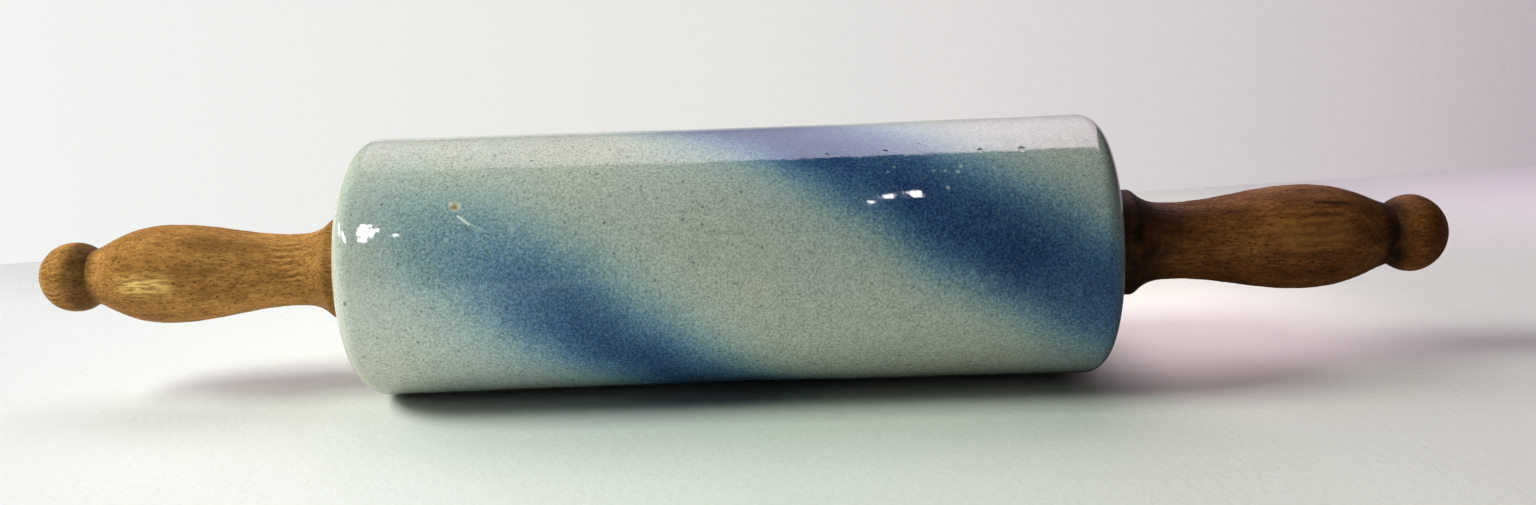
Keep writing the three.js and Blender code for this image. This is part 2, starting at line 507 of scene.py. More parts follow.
@dataclass(frozen=True)
class SpeckledGlaze:
    """Glossy grey-green glaze over stoneware: finely speckled, with sprayed blue bands, kiln marks and
    painted light.

    Places are millimetres from the barrel's middle, angles are degrees from the top towards the front.
    Pits and blister highlights are given by place, angle and radius, and the pale left end and the painted
    shade on the right end's rim by their start, their full place and their share.
    """

    cool: Colour = (0.41, 0.47, 0.43)
    warm: Colour = (0.45, 0.485, 0.385)
    bare: Colour = (0.62, 0.58, 0.47)
    dark_speck: Colour = (0.09, 0.11, 0.10)
    light_speck: Colour = (0.66, 0.72, 0.66)
    # Painted shade: dark colour in the small pits, where their hollows are shaded.
    pit_painted_shade: Colour = (0.04, 0.04, 0.035)
    # Painted highlight: pale spots where tiny bumps of the glaze catch the light.
    blister_highlight_colour: Colour = (0.50, 0.62, 0.62)
    scratch_faint: Colour = (0.80, 0.84, 0.80)
    scratch_bright: Colour = (0.80, 0.90, 0.84)
    # Painted light: the glaze colour is scaled from 1.05 at the left end to 0.72 at the right, standing in
    # for light falling off along the pin.
    painted_light_left_to_right: tuple[float, float] = (1.05, 0.72)
    warm_spot: tuple[float, float] = (-8.0, 80.0)
    warm_radii: tuple[float, float] = (6.0, 34.0)
    blue_fall: tuple[tuple[float, float], ...] = ((1.0, 0.46), (0.40, 0.50), (0.0, 0.34))
    bands: tuple[SprayedBand, ...] = (
        SprayedBand(-56.0, 76.0, 0.72, 20.0, 16.5, 1.26, 20.0, 100.0, 2.2, 1.14),
        SprayedBand(73.0, 76.0, 0.90, 20.5, 21.5, 1.68, -60.0, -20.0, 2.4, 0.70),
    )
    small_pits: tuple[tuple[float, float, float], ...] = (
        (42.0, 29.6, 0.9), (51.1, 25.6, 0.7), (66.6, 31.1, 0.95), (77.4, 31.4, 1.2), (26.8, 30.3, 0.9),
        (-97.5, 90.7, 0.8), (1.9, 60.4, 0.6), (-0.5, 58.0, 0.5),
    )
    # Painted highlights of small bumps, painted in colour only.
    painted_blister_highlights: tuple[tuple[float, float, float], ...] = (
        (43.9, 39.1, 0.6), (42.2, 41.6, 0.6), (47.3, 32.7, 0.7), (54.0, 41.9, 0.6), (56.8, 42.1, 0.6),
        (60.1, 42.9, 0.7), (61.0, 40.0, 0.7), (57.1, 50.4, 0.7), (23.2, 41.6, 0.6), (-84.1, 64.1, 0.6),
        (-70.9, 65.9, 0.7), (17.2, 54.6, 0.6),
    )
    chip: tuple[Dab, ...] = (
        Dab(*CHIP_SPOT, 1.0, 2.0, 0.5, (0.62, 0.58, 0.40)),
        Dab(*CHIP_SPOT, 0.5, 1.3, 1.0, (0.36, 0.21, 0.035)),
        # Painted shadow: dark spot set to the lower right inside the chip, where its hollow is shaded.
        Dab(-68.9, 52.1, 0.2, 1.0, 0.85, (0.085, 0.040, 0.008)),
        # Painted highlight: pale crescent on the chip's upper-left rim.
        Dab(-70.3, 50.3, 0.3, 1.1, 0.9, (0.90, 0.87, 0.68)),
    )
    scratch: tuple[tuple[float, float], ...] = ((-68.2, 56.0), (-65.3, 59.6), (-60.1, 63.3))
    # Pale left end: partly thin glaze at the rim, partly painted light on the lit left end.
    thin_glaze_and_painted_light_left: tuple[tuple[float, float, float], ...] = ((76.0, 100.0, 0.22), (97.0, 100.5, 0.3))
    # Painted shade: the right end's rim is darkened where it lies in shade.
    painted_right_rim_shade: tuple[float, float, float] = (98.0, 101.5, 0.6)
    relief_depth: float = 0.06 * MM
    refraction: float = 1.53

    def ground(self, bench: Bench) -> bpy.types.NodeSocket:
        """The glaze under the spray: cool, with warm clouds and one warm patch.

        Args:
            bench: the glaze's bench.

        Returns:
            Its colour.
        """
        clouds = bench.noise(bench.place, 22.0, 3.0).ramp(0.36, 0.66)
        patch = bench.near(on_pin(*self.warm_spot), *(radius * MM for radius in self.warm_radii))
        return bench.blend((clouds * 0.75 + patch * 0.5).smaller(1.0), self.cool, self.warm)

    def spray(self, bench: Bench, along: Tone, front: Tone, up: Tone) -> Tone:
        """Density of the blue: the bands, patchy and broken into fine droplets.

        Args:
            bench: the glaze's bench.
            along: place along the pin.
            front: place in front of the axis.
            up: place above the axis.

        Returns:
            The density, 0 for none.
        """
        wander = (bench.noise(bench.place, 15.0, 2.0) - 0.5) * 0.010
        density: Tone | float = 0.0
        for band in self.bands:
            density = band.tone(along, front, up, wander) + density
        patchy = density * bench.noise(bench.place, 38.0, 2.0).ramp(0.25, 0.75, 0.86, 1.12)
        droplets = bench.noise(bench.place, 1500.0, 3.0, 0.7).ramp(0.34, 0.66, -0.46, 0.46)
        return patchy + droplets * patchy.smaller(0.55)

    def blue(self, bench: Bench, density: Tone) -> bpy.types.NodeSocket:
        """What a density of sprayed blue lets through: teal where thin, deep blue where thick.

        Args:
            bench: the glaze's bench.
            density: density of the spray.

        Returns:
            A colour to multiply the glaze by.
        """
        parts = [(density * (density * square + plain) * -1.0).exp() for plain, square in self.blue_fall]
        return bench.node("ShaderNodeCombineColor", {}, dict(enumerate(parts))).outputs[0]

    def layers(
        self, bench: Bench, along: Tone, spray: Tone, dark: Tone, pits: Tone
    ) -> list[tuple[Tone, Colour]]:
        """What lies on the glaze: specks, the pale left end, painted shade on the right rim and in the pits,
        painted blister highlights, the chip with its painted highlight and shadow, and a scratch.

        Args:
            bench: the glaze's bench.
            along: place along the pin.
            spray: density of the blue.
            dark: the dark specks.
            pits: the small pits.

        Returns:
            Share and colour of each layer, the lowest first.
        """
        light = bench.specks(800.0, 0.38, 0.16, 0.7) * spray.ramp(0.0, 0.8, 0.16, 0.03)
        # pale left end: thin glaze with painted light
        ends = [(along * -1.0, *end, self.bare) for end in self.thin_glaze_and_painted_light_left]
        # painted shade on the right end's rim
        ends.append((along, *self.painted_right_rim_shade, self.dark_speck))
        # painted highlights of small bumps
        painted_blister_highlights = [
            Dab(place, degrees, 0.3 * radius, 1.25 * radius, 0.6, self.blister_highlight_colour)
            for place, degrees, radius in self.painted_blister_highlights
        ]
        start, bend, end = (on_pin(*spot) for spot in self.scratch)
        return [
            (dark.smaller(0.7), self.dark_speck),
            (light, self.light_speck),
            *((way.ramp(first * MM, full * MM) * share, shade) for way, first, full, share, shade in ends),
            # painted shade in the small pits
            (pits * 0.6, self.pit_painted_shade),
            *((dab.tone(bench), dab.colour) for dab in (*painted_blister_highlights, *self.chip)),
            (bench.near_line(bend, end, 0.12 * MM, 0.5 * MM) * 0.35, self.scratch_faint),
            (bench.near_line(start, bend, 0.2 * MM, 0.6 * MM) * 0.85, self.scratch_bright),
        ]

    def make(self) -> bpy.types.Material:
        """Builds the glaze.

        Returns:
            The material.
        """
        bench = Bench(bpy.data.materials.new("speckled_glaze"))
        along, front, up = bench.axes()
        place = bench.place
        grain = bench.noise(place, 1700.0, 2.0, 0.65)
        mottle = bench.noise(place, 420.0, 3.0, 0.6)
        spray = self.spray(bench, along, front, up)
        coloured = bench.blend(1.0, self.ground(bench), self.blue(bench, spray), "MULTIPLY")
        # Painted light: brighter glaze towards the left end, darker towards the right.
        painted_light_falloff = along.ramp(-BARREL_HALF, BARREL_HALF, *self.painted_light_left_to_right)
        uneven = (grain * 0.8 + mottle * 0.2).ramp(0.32, 0.68, 0.72, 1.26) * painted_light_falloff
        colour = bench.vector("SCALE", {0: coloured, "Scale": uneven})
        dark = bench.specks(900.0, 0.40, 0.20) * 0.45 + bench.specks(400.0, 0.24, 0.12, 0.3) * 0.65
        pits: Tone | float = 0.0
        for pit_along, degrees, radius in self.small_pits:
            pits = bench.near(on_pin(pit_along, degrees), 0.3 * radius * MM, radius * MM) + pits
        for share, shade in self.layers(bench, along, spray, dark, pits):
            colour = bench.blend(share, colour, shade)
        peel = bench.noise(place, 240.0, 2.0, 0.5)
        dimples = bench.noise(place, 750.0, 2.0, 0.5)
        gloss = bench.noise(place, 60.0, 2.0).ramp(0.3, 0.7, 0.05, 0.09) + dark * 0.10
        gloss = gloss + bench.near(on_pin(*CHIP_SPOT), 0.8 * MM, 2.2 * MM) * 0.5
        relief = peel * 0.8 + dimples * 0.15 + grain * 0.03 - pits * 2.5
        return bench.finish(colour, gloss, relief, self.relief_depth, IOR=self.refraction)


@dataclass(frozen=True)
class Grain:
    """Noise drawn out along the pin: the smaller the stretch, the longer its figures."""

    stretch: float
    scale: float
    detail: float
    roughness: float = 0.5
    distortion: float = 0.0

    def tone(self, bench: Bench, shift: Sequence[float]) -> Tone:
        """The noise about 0.5, moved by a shift."""
        moved = bench.scaled((self.stretch, 1, 1), shift)
        return bench.noise(moved, self.scale, self.detail, self.roughness, self.distortion)


@dataclass(frozen=True)
class Streak:
    """A mark along a handle: a pale patch of rubbed wood with painted highlight, a stain or a crack. Places
    are millimetres beyond the barrel.
    """

    start: float
    end: float
    degrees: float
    radius: float
    half_width: float
    share: float
    colour: Colour
    streaky: bool = False


@dataclass(frozen=True)
class RingFigure:
    """Growth rings cut by the turning: bowed lines along a handle, stacked round it.

    Lengths are millimetres. The middle is a place beyond the barrel's end, at an angle in degrees from the
    top towards the front.
    """

    middle: float
    half: float
    degrees: float
    reach: float
    radius: float
    pitch: float
    bow: float


@dataclass(frozen=True)
class TurnedWood:
    """Aged brown hardwood turned along the grain: fibres, pores, growth rings, wear, dirt and painted shade.

    Dirt and painted shade are given by place beyond the barrel's end, half width and share.
    """

    name: str
    light: Colour
    mid: Colour
    deep: Colour
    seed: float
    side: Side = Side.RIGHT
    streaks: tuple[Streak, ...] = ()
    grime_and_shade: tuple[tuple[float, float, float], ...] = ()
    rings: tuple[RingFigure, ...] = ()
    gloss: float = 0.52
    grime_and_shade_colour: Colour = (0.012, 0.007, 0.004)
    mottle: Grain = Grain(0.55, 110.0, 4.0, 0.62)
    figure: Grain = Grain(0.10, 330.0, 3.0, 0.55, 0.6)
    fibres: Grain = Grain(0.14, 1500.0, 2.0, 0.6)
    pores: Grain = Grain(0.3, 2400.0, 1.0)
    grit: Grain = Grain(0.4, 2600.0, 1.0)
    relief_depth: float = 0.07 * MM
    shine: float = 0.05

    def grime_and_shade_mask(self, out: Tone) -> Tone:
        """Where the wood is darkened: dirt in its hollows and painted shade next to the barrel and at the
        knob.

        Args:
            out: place beyond the barrel's end.

        Returns:
            0 where not darkened, 1 where black.
        """
        dirt: Tone | float = 0.0
        for centre, half, share in self.grime_and_shade:
            dirt = abs(out - centre * MM).ramp(half * MM, 0.15 * half * MM, 0.0, share) + dirt
        return dirt.smaller(0.96)

    def ring_lines(self, bench: Bench, out: Tone, front: Tone, up: Tone) -> Tone:
        """Pale and dark lines where the growth rings come to the face.

        Args:
            bench: the wood's bench.
            out: place beyond the barrel's end.
            front: place in front of the axis.
            up: place above the axis.

        Returns:
            -1 to 1, and 0 away from the lines.
        """
        drift = bench.noise(bench.place, 160.0, 2.0) * (1.6 * MM)
        broken = bench.noise(bench.place, 420.0, 2.0).ramp(0.36, 0.60)
        lines: Tone | float = 0.0
        for ring in self.rings:
            turned, reach = turned_from(front, up, ring.degrees), math.radians(ring.reach)
            share = (out - ring.middle * MM) / (ring.half * MM)
            rise = turned * (ring.radius * MM) + share * share * (ring.bow * MM) + drift
            wave = (rise * (2 * math.pi / (ring.pitch * MM))).sine()
            held = abs(share).ramp(1.0, 0.5) * abs(turned).ramp(reach, 0.6 * reach)
            lines = wave * held + lines
        return lines * broken

    def make(self) -> bpy.types.Material:
        """Builds the wood.

        Returns:
            The material.
        """
        bench = Bench(bpy.data.materials.new(self.name))
        along, front, up = bench.axes()
        out = along * float(self.side.value) - BARREL_HALF
        shift = (self.seed, self.seed * 1.7, self.seed * 0.6)
        mottle = self.mottle.tone(bench, shift)
        figure = self.figure.tone(bench, shift)
        fibres = self.fibres.tone(bench, shift)
        pores = self.pores.tone(bench, shift).ramp(0.56, 0.68)
        grit = self.grit.tone(bench, shift)
        shade = mottle * 0.62 + figure * 0.40 + fibres * 0.52 + grit * 0.40 - 0.495
        stops = [(0.18, self.light), (0.47, self.mid), (0.80, self.deep)]
        colour = bench.sweep(stops, shade)
        colour = bench.blend(pores * 0.62, colour, tuple(0.4 * part for part in self.deep))
        if self.rings:
            lines = self.ring_lines(bench, out, front, up)
            colour = bench.blend(lines.larger(0.0) * 0.5, colour, self.light)
            colour = bench.blend((lines * -1.0).larger(0.0) * 0.5, colour, self.deep)
        for streak in self.streaks:
            ends = [
                on_pin(self.side.value * (BARREL_HALF / MM + out_by), streak.degrees, streak.radius)
                for out_by in (streak.start, streak.end)
            ]
            mark = bench.near_line(*ends, 0.1 * streak.half_width * MM, streak.half_width * MM)
            if streak.streaky:
                patchy = fibres.ramp(0.36, 0.62, 1.2, 0.25)
            else:
                patchy = mottle.ramp(0.2, 0.8, 1.25, 0.75)
            colour = bench.blend(mark * patchy * streak.share, colour, streak.colour)
        if self.grime_and_shade:
            # Dirt and painted shade: darkens the groove, the wood next to the barrel and the knob's tip,
            # broken up by noise.
            patchy_darkening = bench.noise(bench.place, 300.0, 3.0).ramp(0.3, 0.7, 0.7, 1.0)
            colour = bench.blend(self.grime_and_shade_mask(out) * patchy_darkening, colour, self.grime_and_shade_colour)
        gloss = mottle.ramp(0.25, 0.75, self.gloss - 0.05, self.gloss + 0.1) + pores * 0.15
        relief = 0.6 - pores * 0.5 + fibres * 0.3 + figure * 0.15
        return bench.finish(colour, gloss, relief, self.relief_depth, Specular_IOR_Level=self.shine)


LEFT_HANDLE_WOOD = TurnedWood(
    "left_handle_wood", (0.63, 0.335, 0.100), (0.38, 0.178, 0.046), (0.12, 0.049, 0.012), 1.4, Side.LEFT,
    streaks=(
        # Pale streaks on the front of the grip: partly rubbed wood, partly painted highlight.
        Streak(53.0, 62.5, 90.0, 13.7, 5.6, 0.55, (0.84, 0.54, 0.16), True),
        Streak(55.0, 61.5, 88.0, 13.8, 2.8, 0.40, (0.95, 0.66, 0.22), True),
        Streak(28.0, 47.0, 36.0, 12.0, 4.5, 0.55, (0.12, 0.05, 0.012)),
        Streak(40.0, 49.0, 72.0, 13.0, 4.5, 0.35, (0.12, 0.05, 0.012)),
    ),
    # Darkening in the groove and by the collar next to the barrel: partly dirt, partly painted shade.
    grime_and_shade=((79.0, 6.0, 0.70), (1.0, 3.4, 0.7), (5.0, 11.0, 0.36)),
    rings=(
        RingFigure(20.0, 5.5, 62.0, 42.0, 10.1, 1.8, 1.0),
        RingFigure(87.5, 6.0, 85.0, 60.0, 9.8, 1.8, 2.4),
    ),
)
# Painted shade: the right handle's wood is a much darker tone of the handle wood, standing in for the shade
# the right handle lies in.
SHADED_RIGHT_HANDLE_WOOD = TurnedWood(
    "right_handle_wood", (0.295, 0.118, 0.032), (0.14, 0.050, 0.012), (0.04, 0.013, 0.004), 3.9,
    streaks=(
        Streak(56.4, 66.2, 38.0, 14.2, 1.0, 0.95, (0.010, 0.005, 0.003)),
        Streak(20.0, 44.0, 40.0, 12.0, 1.2, 0.45, (0.03, 0.012, 0.006)),
        Streak(12.5, 19.6, 28.0, 10.9, 0.8, 0.8, (0.010, 0.005, 0.003)),
        Streak(48.0, 62.0, 75.0, 14.3, 6.5, 0.35, (0.26, 0.115, 0.030)),
    ),
    # Darkening by the collar next to the barrel and at the knob's tip is painted shade; the groove's is
    # partly dirt.
    grime_and_shade=((79.5, 5.0, 0.85), (74.0, 10.0, 0.35), (7.0, 18.0, 0.93), (98.0, 12.0, 0.5)),
    rings=(
        RingFigure(21.0, 5.0, 105.0, 22.0, 10.7, 1.6, 1.6),
        RingFigure(54.0, 14.0, 70.0, 30.0, 14.5, 2.6, 1.2),
    ),
)
BUSH_WOOD = TurnedWood(
    "worn_bush_wood", (0.46, 0.29, 0.13), (0.33, 0.18, 0.07), (0.17, 0.08, 0.03), 5.1, gloss=0.6
)
SPINDLE_WOOD = TurnedWood(
    "worn_spindle_wood", (0.55, 0.37, 0.18), (0.42, 0.25, 0.10), (0.24, 0.12, 0.05), 2.3, gloss=0.58
)


@dataclass(frozen=True)
class DullSteel:
    """Drawn steel wire, dull and slightly rusted."""

    clean: Colour = (0.42, 0.41, 0.39)
    rust: Colour = (0.16, 0.07, 0.03)
    relief_depth: float = 0.02 * MM

    def make(self) -> bpy.types.Material:
        """Builds the steel.

        Returns:
            The material.
        """
        bench = Bench(bpy.data.materials.new("dull_steel"))
        stain = bench.noise(bench.place, 900.0, 4.0, 0.6).ramp(0.46, 0.62)
        lines = bench.noise(bench.scaled((1, 1, 0.08)), 5000.0, 2.0)
        colour = bench.blend(stain, self.clean, self.rust)
        roughness = stain * 0.35 + lines * 0.2 + 0.25
        return bench.finish(colour, roughness, lines, self.relief_depth, Metallic=0.9)


@dataclass(frozen=True)
class Dent:
    """A small round hollow in a turned face, with a raised rim. Sizes are millimetres, the angle degrees."""

    along: float
    angle: float
    radius: float
    depth: float
    rim: float = 0.0
    rim_at: float = 1.4
    rim_sharpness: float = 6.0


def refined(stations: np.ndarray, centre: float, half: float, steps: int) -> np.ndarray:
    """Adds closely spaced stations about one place.

    Args:
        stations: rising stations.
        centre: the place.
        half: reach to each side.
        steps: number of steps in the reach.

    Returns:
        All stations, rising, with those that nearly meet a new one left out.
    """
    extra = np.linspace(centre - half, centre + half, steps + 1)
    inside = (stations > extra[0] - half / steps) & (stations < extra[-1] + half / steps)
    return np.sort(np.concatenate([stations[~inside], extra]))


def turned_mesh(
    name: str, profile: np.ndarray, angles: np.ndarray, closed: bool, radius_at: RadiusChange
) -> bpy.types.Object:
    """Makes a turned piece about the pin's axis.

    Args:
        name: the piece's name.
        profile: rows of place along X and radius; a radius of 0 is a point on the axis.
        angles: rising angles round the axis from the top towards the front, within one turn.
        closed: whether the profile closes on itself.
        radius_at: changes the radius, given arrays of place, angle and radius.

    Returns:
        The object, in place.
    """
    count = len(angles)
    along = np.repeat(profile[:, :1], count, axis=1)
    turn = np.repeat(angles[None, :], len(profile), axis=0)
    radius = np.repeat(profile[:, 1:], count, axis=1)
    radius = np.where(radius > 0, radius_at(along, turn, radius), 0.0)
    points = np.stack([along, -radius * np.sin(turn), AXIS_HEIGHT + radius * np.cos(turn)], axis=2)
    index = np.arange(len(profile) * count).reshape(len(profile), count)
    rows = len(profile) if closed else len(profile) - 1
    for row in range(len(profile)):
        if profile[row, 1] == 0.0:
            index[row, :] = index[row, 0]
    faces = []
    for row in range(rows):
        after = (row + 1) % len(profile)
        for column in range(count):
            beside = (column + 1) % count
            corners = [index[row, column], index[row, beside], index[after, beside], index[after, column]]
            faces.append(list(dict.fromkeys(int(corner) for corner in corners)))
    used = np.unique(index)
    renumber = np.full(index.size, -1)
    renumber[used] = np.arange(len(used))
    mesh = bpy.data.meshes.new(name)
    faces = [[int(renumber[corner]) for corner in face] for face in faces]
    mesh.from_pydata(points.reshape(-1, 3)[used].tolist(), [], faces)
    corner_sets = [mesh.vertices[i].co for face in mesh.polygons for i in face.vertices[:3]]
    triples = np.array(corner_sets).reshape(-1, 3, 3) - np.array(mesh.vertices[0].co)
    if np.einsum("ij,ij->i", triples[:, 0], np.cross(triples[:, 1], triples[:, 2])).sum() < 0:
        mesh.flip_normals()
    mesh.shade_smooth()
    mesh.set_sharp_from_angle(angle=SHARP_ANGLE)
    mesh.validate()
    piece = bpy.data.objects.new(name, mesh)
    bpy.context.scene.collection.objects.link(piece)
    return piece


def round_corner(
    start: tuple[float, float], corner: tuple[float, float], end: tuple[float, float], steps: int
) -> list[tuple[float, float]]:
    """A quarter round between two points about their corner.

    Args:
        start: first point.
        corner: where the straight lines would meet.
        end: last point.
        steps: number of steps.

    Returns:
        The points after the first one.
    """
    points = []
    for step in range(1, steps + 1):
        turn = 0.5 * math.pi * step / steps
        fall, rise = 1 - math.sin(turn), 1 - math.cos(turn)
        points.append(tuple(c + (s - c) * fall + (e - c) * rise for s, c, e in zip(start, corner, end)))
    return points


def cubic(points: Sequence[tuple[float, float]], steps: int) -> list[tuple[float, float]]:
    """A cubic curve through four control points.

    Args:
        points: the control points.
        steps: number of steps.

    Returns:
        The points after the first one.
    """
    share = np.linspace(0, 1, steps + 1)[1:, None]
    first, second, third, last = (np.array(point) for point in points)
    rest = 1 - share
    curve = rest**3 * first + 3 * rest**2 * share * second + 3 * rest * share**2 * third + share**3 * last
    return [tuple(point) for point in curve]


@dataclass
class Barrel:
    """The hollow stoneware roller: slightly waisted and wavy, with rounded edges and one chipped pit.

    Sizes are millimetres. A wave is its cycles along the barrel, its lobes round it and its phase, and it
    falls with its cycles.
    """

    edge: float = 6.0
    edge_steps: int = 12
    wall: float = 11.0
    cavity_corner: float = 8.0
    corner_steps: int = 6
    cavity_end: float = 87.0
    cavity_stations: int = 14
    seat_radius: float = 13.276
    seat_depth: float = 10.0
    ledge_radius: float = 11.676
    end_rings: tuple[float, float] = (18.0, 24.0)
    face_stations: int = 66
    turns: int = 180
    waist: float = 0.55
    ripple: float = 0.07
    waves: tuple[tuple[float, int, float], ...] = (
        (1.3, 1, 0.4), (2.1, 2, 1.9), (3.7, 1, 4.2), (5.3, 3, 2.6), (8.9, 2, 5.5)
    )
    wave_fall: float = 0.4
    skin: tuple[float, float] = (0.80, 0.95)
    chip: Dent = Dent(*CHIP_SPOT, 1.5, 0.40, 0.05)
    chip_reach: float = 2.6
    chip_turn: float = 0.075
    chip_steps: int = 14

    def profile(self) -> np.ndarray:
        """The closed outline.

        Returns:
            Rows of place along X and radius, in metres.
        """
        end, radius = BARREL_HALF / MM, BARREL_RADIUS / MM
        cavity, cavity_end = radius - self.wall, self.cavity_end
        inner, corner = cavity_end - self.cavity_corner, cavity - self.cavity_corner
        seat, first_ring, last_ring = end - self.seat_depth, *self.end_rings
        straight = np.linspace(self.edge - end, end - self.edge, self.face_stations)[1:-1]
        straight = refined(straight, self.chip.along, self.chip_reach, self.chip_steps)
        points = [(-end, self.seat_radius), (-end, first_ring), (-end, last_ring), (-end, radius - self.edge)]
        points += round_corner(points[-1], (-end, radius), (self.edge - end, radius), self.edge_steps)
        points += [(place, radius) for place in straight]
        points += [(end - self.edge, radius)]
        points += round_corner(points[-1], (end, radius), (end, radius - self.edge), self.edge_steps)
        points += [(end, last_ring), (end, first_ring), (end, self.seat_radius)]
        points += [(seat, self.seat_radius), (seat, self.ledge_radius)]
        points += [(cavity_end, self.ledge_radius), (cavity_end, corner)]
        points += round_corner(points[-1], (cavity_end, cavity), (inner, cavity), self.corner_steps)
        points += [(place, cavity) for place in np.linspace(inner, -inner, self.cavity_stations)[1:]]
        points += round_corner(points[-1], (-cavity_end, cavity), (-cavity_end, corner), self.corner_steps)
        points += [(-cavity_end, self.ledge_radius), (-seat, self.ledge_radius), (-seat, self.seat_radius)]
        outline = np.array(points) * MM
        outline[:, 0] += BARREL_MIDDLE
        return outline

    def face_radius(self, along: np.ndarray, turn: np.ndarray, radius: np.ndarray) -> np.ndarray:
        """The outer face as the kiln left it: waisted, wavy and chipped.

        Args:
            along: places along X.
            turn: angles from the top towards the front.
            radius: radii of the true shape.

        Returns:
            The radii in metres.
        """
        bare, full = self.skin
        outer = np.clip((radius / BARREL_RADIUS - bare) / (full - bare), 0, 1)
        place = (along - BARREL_MIDDLE) / BARREL_HALF
        shrink = self.waist * np.clip(1 - place**2, 0, 1)
        waves = sum(
            np.sin(cycles * math.pi * place + lobes * turn + phase) / (1 + self.wave_fall * cycles)
            for cycles, lobes, phase in self.waves
        )
        chip = self.chip
        beside = BARREL_RADIUS * (turn - math.radians(chip.angle))
        span = np.hypot(along - BARREL_MIDDLE - chip.along * MM, beside) / (chip.radius * MM)
        dip = chip.depth * np.exp(-(span**2))
        rim = chip.rim * np.exp(-((span - chip.rim_at) ** 2) * chip.rim_sharpness)
        return radius - outer * (shrink + dip - rim + self.ripple * waves) * MM

    def spot(self, along: float, degrees: float) -> tuple[Vector, Vector]:
        """A point of the outer face and the way it faces.

        Args:
            along: place from the barrel's middle, in millimetres.
            degrees: angle from the top towards the front.

        Returns:
            The point in metres and its normal.
        """
        aside, down, edge = 0.5 * MM, 0.01, self.edge * MM
        places = BARREL_MIDDLE + along * MM + np.array([0.0, aside, 0.0])
        turns = math.radians(degrees) + np.array([0.0, 0.0, down])
        rounding = np.clip(np.abs(places - BARREL_MIDDLE) - BARREL_HALF + edge, 0, edge)
        radii = self.face_radius(places, turns, BARREL_RADIUS - edge + np.sqrt(edge**2 - rounding**2))
        near, beside, lower = (
            Vector((place, -radius * math.sin(turn), AXIS_HEIGHT + radius * math.cos(turn)))
            for place, turn, radius in zip(places, turns, radii)
        )
        return near, (lower - near).cross(beside - near).normalized()

    def build(self) -> bpy.types.Object:
        """Makes the barrel and hands it the place of its solid.

        Returns:
            The barrel.
        """
        angles = np.linspace(0, 2 * math.pi, self.turns, endpoint=False)
        angles = refined(angles, math.radians(self.chip.angle), self.chip_turn, self.chip_steps)
        piece = turned_mesh("glazed_barrel", self.profile(), angles, True, self.face_radius)
        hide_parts("barrel")
        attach(piece, "barrel")
        return piece

    def dress(self, piece: bpy.types.Object) -> None:
        """Glazes the barrel.

        Args:
            piece: the barrel.
        """
        piece.data.materials.append(SpeckledGlaze().make())


